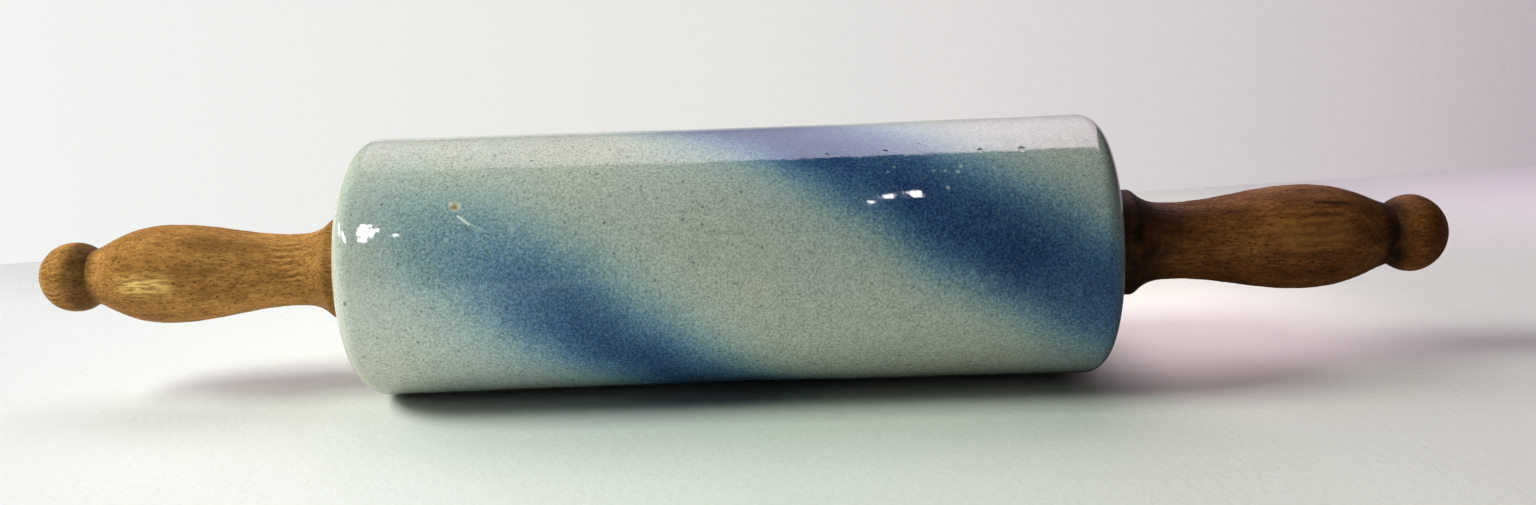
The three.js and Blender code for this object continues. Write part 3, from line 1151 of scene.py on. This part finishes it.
@dataclass
class Handle:
    """A handle turned in one piece, with the hole of its pin underneath.

    Sizes are millimetres. A tool mark is its height, its waves per millimetre and its phase. Wear is a
    height, lobes round the handle, a phase and a twist per metre.
    """

    side: Side
    collar_radius: float
    neck_radius: float
    grip_radius: float
    grip_end: float
    knob_radius: float
    knob_length: float
    wood: TurnedWood
    collar_length: float = 8.8
    inner_edge: float = 1.6
    edge_steps: int = 8
    outer_edge: float = 1.7
    outer_ease: float = 0.35
    collar_drop: float = 0.63
    cove_slope: float = 0.94
    cove_start: float = 0.23
    cove_ease: float = 0.555
    neck_at: float = 20.0
    swell_ease: float = 0.37
    grip_at: float = 55.5
    fall_ease: float = 0.55
    groove_ease: float = 0.25
    groove_lip: float = 0.5
    groove_share: float = 0.77
    curve_steps: tuple[int, ...] = (8, 18, 30, 26)
    knob_share: float = 0.365
    knob_stations: int = 26
    turns: int = 96
    socket_radius: float = 7.2
    socket_end: float = 32.6
    drill_point: float = 3.0
    socket_margin: tuple[float, float] = (0.4, 4.0)
    pin_hole: Dent = Dent(24.0, 180.0, 1.42, 1.4)
    hole_reach: float = 2.0
    hole_steps: int = 20
    hole_turn: float = 0.2
    hole_turn_steps: int = 24
    hole_edge: float = 0.12
    tool_marks: tuple[tuple[float, float, float], ...] = ((0.02, 2.9, 0.0), (0.03, 0.83, 1.3))
    wear: tuple[tuple[float, int, float, float], ...] = ((0.06, 2, 0.7, 30.0), (0.04, 3, 2.0, 0.0))
    tip_fade: float = 4.0

    def profile(self) -> np.ndarray:
        """The outline from the bottom of the socket to the knob's tip.

        Returns:
            Rows of place along X and radius, in metres.
        """
        gap = COLLAR_GAP / MM
        collar, neck, grip, end = self.collar_radius, self.neck_radius, self.grip_radius, self.grip_end
        collar_end = gap + self.collar_length
        bead_end, low = collar_end - self.outer_edge, collar - self.collar_drop
        cove, swell, fall = self.neck_at - collar_end, self.grip_at - self.neck_at, end - self.grip_at
        groove = self.groove_share * self.knob_radius
        groove_rise = groove + self.groove_ease * (grip - groove)
        ease, dip = self.outer_ease * self.outer_edge, self.cove_start * cove
        curves = (
            ((bead_end + ease, collar), (collar_end - ease, low + self.cove_slope * ease), (collar_end, low)),
            (
                (collar_end + dip, low - self.cove_slope * dip),
                (self.neck_at - self.cove_ease * cove, neck),
                (self.neck_at, neck),
            ),
            (
                (self.neck_at + self.swell_ease * swell, neck),
                (self.grip_at - self.swell_ease * swell, grip),
                (self.grip_at, grip),
            ),
            (
                (self.grip_at + self.fall_ease * fall, grip),
                (end - self.groove_ease * fall, groove_rise),
                (end, groove),
            ),
        )
        points = [(gap, collar - self.inner_edge)]
        points += round_corner(points[-1], (gap, collar), (gap + self.inner_edge, collar), self.edge_steps)
        points += [(bead_end, collar)]
        for controls, steps in zip(curves, self.curve_steps):
            points += cubic([points[-1], *controls], steps)
        reach = self.knob_length * (1 - self.knob_share)
        centre = end + self.groove_lip + self.knob_length * self.knob_share
        start = -math.asin(self.knob_share / (1 - self.knob_share))
        points += [
            (centre + reach * math.sin(turn), self.knob_radius * math.cos(turn))
            for turn in np.linspace(start, 0.5 * math.pi, self.knob_stations)[:-1]
        ]
        face = np.array([*points, (centre + reach, 0.0)])
        stations = refined(face[:, 0], self.pin_hole.along, self.hole_reach, self.hole_steps)
        face = np.stack([stations, np.interp(stations, face[:, 0], face[:, 1])], axis=1)
        drill_end = self.socket_end + self.drill_point
        socket = [(drill_end, 0.0), (self.socket_end, self.socket_radius), (gap, self.socket_radius)]
        outline = np.concatenate([np.array(socket), face]) * MM
        outline[:, 0] = BARREL_MIDDLE + self.side.value * (BARREL_HALF + outline[:, 0])
        return outline

    def face_radius(self, along: np.ndarray, turn: np.ndarray, radius: np.ndarray) -> np.ndarray:
        """The face as the chisel and wear left it, with the pin's hole.

        Args:
            along: places along X.
            turn: angles from the top towards the front.
            radius: radii of the true shape.

        Returns:
            The radii in metres.
        """
        out = np.abs(along - BARREL_MIDDLE) - BARREL_HALF
        beside, beyond = self.socket_margin
        outer = (radius > (self.socket_radius + beside) * MM) | (out > (self.socket_end + beyond) * MM)
        marks = sum(height * np.sin(out / MM * pace + phase) for height, pace, phase in self.tool_marks)
        patchy_darkening = sum(
            height * np.sin(lobes * turn + phase + out * twist) for height, lobes, phase, twist in self.wear
        )
        pin = self.pin_hole
        span = np.hypot(out - pin.along * MM, radius * (turn - math.radians(pin.angle)))
        hole = pin.depth * np.clip((pin.radius * MM - span) / (self.hole_edge * MM), 0, 1)
        fade = np.clip(radius / (self.tip_fade * MM), 0, 1)
        return radius - np.where(outer, (marks + patchy_darkening) * fade + hole, 0.0) * MM

    def build(self) -> bpy.types.Object:
        """Makes the handle and hands it the place of its solid.

        Returns:
            The handle.
        """
        node = f"{self.side.name.lower()}_handle"
        angles = np.linspace(0, 2 * math.pi, self.turns, endpoint=False)
        angles = refined(angles, math.radians(self.pin_hole.angle), self.hole_turn, self.hole_turn_steps)
        piece = turned_mesh(f"turned_{node}", self.profile(), angles, False, self.face_radius)
        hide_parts(node)
        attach(piece, "spindle")
        return piece

    def dress(self, piece: bpy.types.Object) -> None:
        """Gives the handle its wood.

        Args:
            piece: the handle.
        """
        piece.data.materials.append(self.wood.make())


HANDLES = (
    Handle(Side.LEFT, 14.4, 10.1, 13.9, 77.2, 9.8, 14.9, LEFT_HANDLE_WOOD),
    Handle(Side.RIGHT, 14.7, 10.7, 14.5, 80.2, 10.7, 15.3, SHADED_RIGHT_HANDLE_WOOD),
)


@dataclass
class InnerWork:
    """The spindle, its bushes and the handle pins, which keep their solids."""

    bushes: tuple[str, ...] = ("left_bush", "right_bush")
    rods: tuple[str, ...] = ("spindle",)
    pins: tuple[str, ...] = ("left_handle_pin", "right_handle_pin")

    def dress(self) -> None:
        """Gives each hidden piece its material."""
        for nodes, finish in ((self.bushes, BUSH_WOOD), (self.rods, SPINDLE_WOOD), (self.pins, DullSteel())):
            material = finish.make()
            for node in nodes:
                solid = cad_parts[node]
                solid.data.materials.clear()
                solid.data.materials.append(material)
                log.info("dressed %s with %s", node, material.name)


@dataclass(frozen=True)
class PhotoCamera:
    """A camera at the photograph's place. The offsets are those of the barrel's middle in its view."""

    distance: float = 0.3672
    aside: float = -0.01015
    below: float = 0.00071
    elevation: float = math.radians(14.0)
    yaw: float = 0.0163
    roll: float = -0.0334
    focal_pixels: float = 1310.4
    sensor_width: float = 36.0
    clip: tuple[float, float] = (0.01, 20.0)

    def build(self) -> Vector:
        """Makes the camera and sets it as the scene's own.

        Returns:
            The camera's place.
        """
        sine, cosine = math.sin(self.elevation), math.cos(self.elevation)
        to_pin = Matrix(((1, 0, 0), (0, -sine, -cosine), (0, cosine, -sine)))
        to_view = Matrix.Rotation(self.roll, 3, "Z") @ Matrix.Rotation(self.yaw, 3, "Y") @ to_pin
        offset = Vector((self.aside, self.below, self.distance))
        target = Vector((BARREL_MIDDLE, 0, AXIS_HEIGHT))
        right, down, ahead = (Vector(row) for row in to_view)
        data = bpy.data.cameras.new("photo_camera")
        data.sensor_fit = "HORIZONTAL"
        data.sensor_width = self.sensor_width
        data.lens = self.focal_pixels / FRAME_WIDTH * self.sensor_width
        data.clip_start, data.clip_end = self.clip
        camera = bpy.data.objects.new("photo_camera", data)
        turn = Matrix((right, -down, -ahead)).transposed().to_4x4()
        camera.matrix_world = Matrix.Translation(target - to_view.transposed() @ offset) @ turn
        bpy.context.scene.collection.objects.link(camera)
        bpy.context.scene.camera = camera
        return camera.matrix_world.translation.copy()


@dataclass(frozen=True)
class Lamp:
    """A flat lamp of even brightness, facing the pin."""

    name: str
    place: tuple[float, float, float]
    size: tuple[float, float]
    brightness: float
    colour: Colour = (1.0, 1.0, 1.0)
    aim: tuple[float, float, float] = (0.0, 0.0, AXIS_HEIGHT)
    mirrored: bool = True
    spreads: bool = True

    def build(self) -> bpy.types.Light:
        """Makes the lamp.

        Returns:
            Its light.
        """
        data = bpy.data.lights.new(self.name, "AREA")
        data.shape = "RECTANGLE"
        data.size, data.size_y = self.size
        data.energy = 4 * self.size[0] * self.size[1] * self.brightness
        data.color = self.colour
        made = bpy.data.objects.new(self.name, data)
        made.location = self.place
        made.visible_camera = False
        made.visible_glossy = self.mirrored
        made.visible_diffuse = self.spreads
        made.rotation_mode = "QUATERNION"
        made.rotation_quaternion = (Vector(self.aim) - Vector(self.place)).to_track_quat("-Z", "Y")
        bpy.context.scene.collection.objects.link(made)
        return data


@dataclass(frozen=True)
class BackSheet:
    """The large sheet behind that the glaze mirrors along its top, brighter above and to the right.

    Lengths are metres, the rise is in degrees above the axis, and tints run from left to right.
    """

    across: tuple[float, float] = (-0.46, 0.66)
    rise: tuple[float, float] = (8.0, 76.6)
    reach: float = 1.0
    brightness: float = 5.0
    lowest: float = 0.13
    top_from: float = 0.965
    left_dims: float = 0.5
    left_over: tuple[float, float] = (0.80, 0.93)
    left_above: float = 0.4
    tints: tuple[tuple[float, Colour], ...] = (
        (0.0, (0.31, 0.25, 0.27)), (0.20, (0.33, 0.265, 0.29)), (0.34, (0.44, 0.39, 0.43)),
        (0.45, (0.57, 0.55, 0.70)), (0.53, (0.72, 0.66, 0.76)), (0.60, (0.90, 0.75, 0.84)),
        (0.71, (0.84, 0.66, 0.74)), (1.0, (0.76, 0.58, 0.66)),
    )

    def build(self) -> None:
        """Makes the sheet as a lamp that only the glaze mirrors."""
        left, right = self.across
        low, high = self.rise
        turn, half = math.radians(0.5 * (low + high)), math.radians(0.5 * (high - low))
        middle = 0.5 * (left + right)
        place = (middle, self.reach * math.cos(turn), AXIS_HEIGHT + self.reach * math.sin(turn))
        size = (right - left, 2 * self.reach * math.tan(half))
        lamp = Lamp("back_sheet", place, size, self.brightness, aim=(middle, 0.0, AXIS_HEIGHT), spreads=False)
        bench = Bench(lamp.build())
        spread = bench.node("ShaderNodeNewGeometry", {}, {}).outputs["Parametric"]
        leftward, upward = bench.parts(spread)[:2]
        tint = bench.sweep(self.tints, 1.0 - leftward)
        level = upward.ramp(0.0, 1.0, self.lowest, 1.0) * upward.ramp(1.0, self.top_from)
        dims = leftward.ramp(*self.left_over) * upward.ramp(self.left_above, 1.0) * self.left_dims
        colour = bench.vector("SCALE", {0: tint, "Scale": level * (1.0 - dims)})
        glow = bench.node("ShaderNodeEmission", {}, {"Color": colour})
        bench.node("ShaderNodeOutputLight", {}, {"Surface": glow.outputs[0]})


@dataclass(frozen=True)
class Glint:
    """A small bright window that the glaze mirrors at one place. Its size is in millimetres on the glaze."""

    along: float
    degrees: float
    width: float
    height: float
    brightness: float = 26.0
    reach: float = 0.05

    def mirrored(self, barrel: Barrel, eye: Vector, along: float, degrees: float) -> tuple[Vector, Vector]:
        """Where and which way the glaze turns the eye's sight.

        Args:
            barrel: the barrel that mirrors it.
            eye: where it is seen from.
            along: millimetres beside the glint's middle.
            degrees: degrees below the glint's middle.

        Returns:
            The point on the glaze and the way on from it.
        """
        spot, normal = barrel.spot(self.along + along, self.degrees + degrees)
        sight = (eye - spot).normalized()
        return spot, 2 * normal.dot(sight) * normal - sight

    def lamp(self, number: int, barrel: Barrel, eye: Vector) -> Lamp:
        """The lamp that an eye sees at this place.

        Args:
            number: the glint's number.
            barrel: the barrel that mirrors it.
            eye: where it is seen from.

        Returns:
            The lamp.
        """
        spot, way = self.mirrored(barrel, eye, 0.0, 0.0)
        place = spot + way * self.reach
        half_turn = math.degrees(0.5 * self.height * MM / BARREL_RADIUS)
        size = []
        for along, degrees in ((0.5 * self.width, 0.0), (0.0, half_turn)):
            ends = []
            for sign in (-1, 1):
                start, out = self.mirrored(barrel, eye, sign * along, sign * degrees)
                ends.append(start + out * ((place - start).dot(way) / out.dot(way)))
            size.append((ends[1] - ends[0]).length)
        name = f"glint_{number}"
        return Lamp(name, tuple(place), tuple(size), self.brightness, aim=tuple(spot), spreads=False)


def stage_sheet(name: str, corners: Sequence[tuple[float, float, float]], finish: bpy.types.Material) -> None:
    """Makes one flat sheet of the stage.

    Args:
        name: its name.
        corners: its corners in order.
        finish: its material.
    """
    mesh = bpy.data.meshes.new(name)
    mesh.from_pydata([list(corner) for corner in corners], [], [list(range(len(corners)))])
    made = bpy.data.objects.new(name, mesh)
    bpy.context.scene.collection.objects.link(made)
    made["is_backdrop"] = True
    mesh.materials.append(finish)


@dataclass(frozen=True)
class FloorLift:
    """A soft round glow painted on the floor that only the camera sees: painted light that lightens the pin's
    cast shadow to its right. Metres.
    """

    middle: tuple[float, float]
    inner: float
    outer: float
    colour: Colour


@dataclass(frozen=True)
class Floor:
    """Pale matt floor with a faint tooth, tinted along the pin and clear from below. Sizes are metres."""

    half_size: tuple[float, float] = (3.0, 2.5)
    tinted: tuple[float, float] = (-0.25, 0.25)
    tints: tuple[tuple[float, Colour], ...] = (
        (0.0, (0.60, 0.58, 0.61)), (0.29, (0.75, 0.75, 0.74)), (0.52, (0.62, 0.675, 0.615)),
        (0.70, (0.64, 0.655, 0.615)), (0.80, (0.71, 0.69, 0.67)), (1.0, (0.72, 0.68, 0.685)),
    )
    tooth_scale: float = 420.0
    tooth_colour: Colour = (0.60, 0.60, 0.59)
    tooth_share: float = 0.04
    tooth_depth: float = 0.2 * MM
    roughness: float = 0.85
    shine: float = 0.2
    mirrored: Colour = (0.12, 0.12, 0.117)
    mirrored_over: tuple[float, float] = (-0.12, -0.05)
    lit_middle: tuple[float, float, float] = (0.0, 0.05, 0.0)
    lit: tuple[float, float] = (0.40, 0.75)
    distant: Colour = (0.80, 0.79, 0.79)
    lifts: tuple[FloorLift, ...] = (
        FloorLift((0.13, 0.035), 0.01, 0.10, (0.40, 0.31, 0.32)),
        FloorLift((0.36, 0.27), 0.05, 0.22, (0.18, 0.11, 0.20)),
        FloorLift((0.155, 0.205), 0.02, 0.11, (0.14, 0.13, 0.13)),
    )
    lifted_over: tuple[float, float] = (0.087, 0.127)

    def finish(self) -> bpy.types.Material:
        """Builds the floor's finish.

        Returns:
            The material.
        """
        bench = Bench(bpy.data.materials.new("pale_floor"))
        tooth = bench.noise(bench.place, self.tooth_scale, 3.0)
        along = bench.axes()[0]
        left, right = self.tinted
        seen, glossy = bench.rays("Is Camera Ray", "Is Glossy Ray")
        tint = bench.sweep(self.tints, (along - left) / (right - left))
        tint = bench.blend(tooth.ramp(0.3, 0.7) * self.tooth_share, tint, self.tooth_colour)
        tint = bench.blend(glossy * along.ramp(*self.mirrored_over), tint, self.mirrored)
        distant = seen * (1.0 - bench.near(Vector(self.lit_middle), *self.lit))
        tint = bench.blend(distant, tint, BLACK)
        glow = bench.blend(distant, BLACK, self.distant)
        lifted = seen * along.ramp(*self.lifted_over)
        for lift in self.lifts:
            share = bench.near(Vector((*lift.middle, 0.0)), lift.inner, lift.outer) * lifted
            glow = bench.blend(share, glow, lift.colour, "ADD")
        below = seen * bench.tone("ShaderNodeNewGeometry", {}, {}, "Backfacing")
        shown = {"Emission_Color": glow, "Emission_Strength": 1.0, "Alpha": 1.0 - below}
        shown["Specular_IOR_Level"] = self.shine
        return bench.finish(tint, self.roughness, tooth, self.tooth_depth, **shown)

    def build(self) -> None:
        """Lays the floor just under the pin."""
        across, deep = self.half_size
        corners = [(x * across, y * deep, -STAGE_DROP) for x, y in ((-1, -1), (1, -1), (1, 1), (-1, 1))]
        stage_sheet("floor", corners, self.finish())


@dataclass(frozen=True)
class Wall:
    """Pale matt wall, an even sweep from white to grey in front and clear from behind. Sizes are metres."""

    point: tuple[float, float] = (0.0055, 0.2147)
    slope: float = 0.1396
    half_length: float = 1.6
    height: float = 0.12
    colour: Colour = (0.82, 0.81, 0.82)
    tooth_scale: float = 500.0
    tooth_share: float = 0.06
    tinted: tuple[float, float] = (-0.35, 0.45)
    tints: tuple[tuple[float, Colour], ...] = (
        (0.0, (0.92, 0.925, 0.905)), (0.45, (0.79, 0.78, 0.755)), (0.8, (0.60, 0.545, 0.57)),
        (1.0, (0.42, 0.36, 0.41)),
    )

    def finish(self) -> bpy.types.Material:
        """Builds the wall's finish.

        Returns:
            The material.
        """
        bench = Bench(bpy.data.materials.new("pale_wall"))
        left, right = self.tinted
        tooth = (bench.noise(bench.place, self.tooth_scale, 3.0) - 0.5) * self.tooth_share
        tint = bench.sweep(self.tints, (bench.parts(bench.place)[0] - left) / (right - left) + tooth)
        glow = bench.node("ShaderNodeEmission", {}, {"Color": tint}).outputs[0]
        matt = bench.node("ShaderNodeBsdfDiffuse", {}, {"Color": self.colour}).outputs[0]
        clear = bench.node("ShaderNodeBsdfTransparent", {}, {}).outputs[0]
        seen, glossy = bench.rays("Is Camera Ray", "Is Glossy Ray")
        behind = seen * bench.tone("ShaderNodeNewGeometry", {}, {}, "Backfacing")
        shader = bench.mixed(behind, bench.mixed(seen.larger(glossy), matt, glow), clear)
        bench.node("ShaderNodeOutputMaterial", {}, {"Surface": shader})
        return bench.owner

    def build(self) -> None:
        """Stands the wall behind the pin."""
        place, depth, half = *self.point, self.half_length
        ends = [(place + reach, depth + reach * self.slope) for reach in (-half, half)]
        foot, top = ([(*end, level) for end in ends] for level in (-STAGE_DROP, self.height))
        stage_sheet("wall", [*foot, *reversed(top)], self.finish())


@dataclass(frozen=True)
class Studio:
    """Soft lamps, a reflector in front, small lamps for the glaze's glints, and an even room."""

    lamps: tuple[Lamp, ...] = (
        Lamp("left_softbox", (-0.95, -0.20, 0.85), (0.50, 0.50), 18.0, (0.92, 1.0, 0.90), mirrored=False),
        Lamp("left_back_softbox", (-0.85, 0.45, 0.80), (0.60, 0.60), 2.8, mirrored=False),
        Lamp(
            "front_reflector", (-0.10, -0.08, 0.002), (0.50, 0.06), 0.85, (0.95, 1.0, 0.94),
            aim=(-0.10, -0.08, 1.0), mirrored=False,
        ),
        Lamp("top_softbox", (0.05, 0.45, 0.95), (0.90, 0.60), 1.5, (1.0, 0.84, 0.94), mirrored=False),
    )
    glints: tuple[Glint, ...] = (
        Glint(-98.9, 59.4, 0.9, 1.5), Glint(-97.5, 63.0, 1.2, 1.4), Glint(-92.9, 60.4, 2.8, 2.8),
        Glint(-91.4, 62.8, 2.4, 3.4), Glint(-84.0, 63.2, 0.7, 0.6),
        Glint(37.3, 55.6, 1.4, 0.8), Glint(41.6, 53.2, 2.2, 1.0), Glint(48.8, 52.7, 2.6, 1.7),
    )
    room_colour: Colour = (0.97, 0.98, 1.0)
    lit_level: float = 0.08
    glaze_level: float = 0.03
    seen_level: float = 0.80

    def room(self) -> None:
        """Makes the world: one level lights the pin, one is mirrored by it and one is seen past it."""
        world = bpy.data.worlds.new("soft_room")
        bpy.context.scene.world = world
        bench = Bench(world)
        lit, mirrored, shown = (
            bench.node("ShaderNodeBackground", {}, {"Color": self.room_colour, "Strength": level}).outputs[0]
            for level in (self.lit_level, self.glaze_level, self.seen_level)
        )
        seen, glossy = bench.rays("Is Camera Ray", "Is Glossy Ray")
        shader = bench.mixed(seen, bench.mixed(glossy, lit, mirrored), shown)
        bench.node("ShaderNodeOutputWorld", {}, {"Surface": shader})

    def build(self, barrel: Barrel, eye: Vector) -> None:
        """Makes the stage, the lamps and the room.

        Args:
            barrel: the barrel that mirrors the glints.
            eye: where the photograph was taken.
        """
        Floor().build()
        Wall().build()
        sparks = [glint.lamp(number, barrel, eye) for number, glint in enumerate(self.glints)]
        for lamp in (*self.lamps, *sparks):
            lamp.build()
        BackSheet().build()
        self.room()


def plain(bounds: tuple[Vector, Vector]) -> list[list[float]]:
    """A box as plain lists of numbers."""
    return [[float(value) for value in corner] for corner in bounds]


def main() -> None:
    """Builds the pieces in order, then the camera and the studio."""
    logging.basicConfig(level=logging.INFO, format="%(name)s: %(message)s")
    bpy.context.scene.view_settings.view_transform = "Standard"
    solids_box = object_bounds()
    barrel = Barrel()
    for part in (barrel, *HANDLES):
        piece = part.build()
        part.dress(piece)
        log.info("built %s with %d faces", piece.name, len(piece.data.polygons))
    InnerWork().dress()
    eye = PhotoCamera().build()
    Studio().build(barrel, eye)
    {"solids": plain(solids_box), "dressed": plain(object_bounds())}


if __name__ == "__main__":
    main()
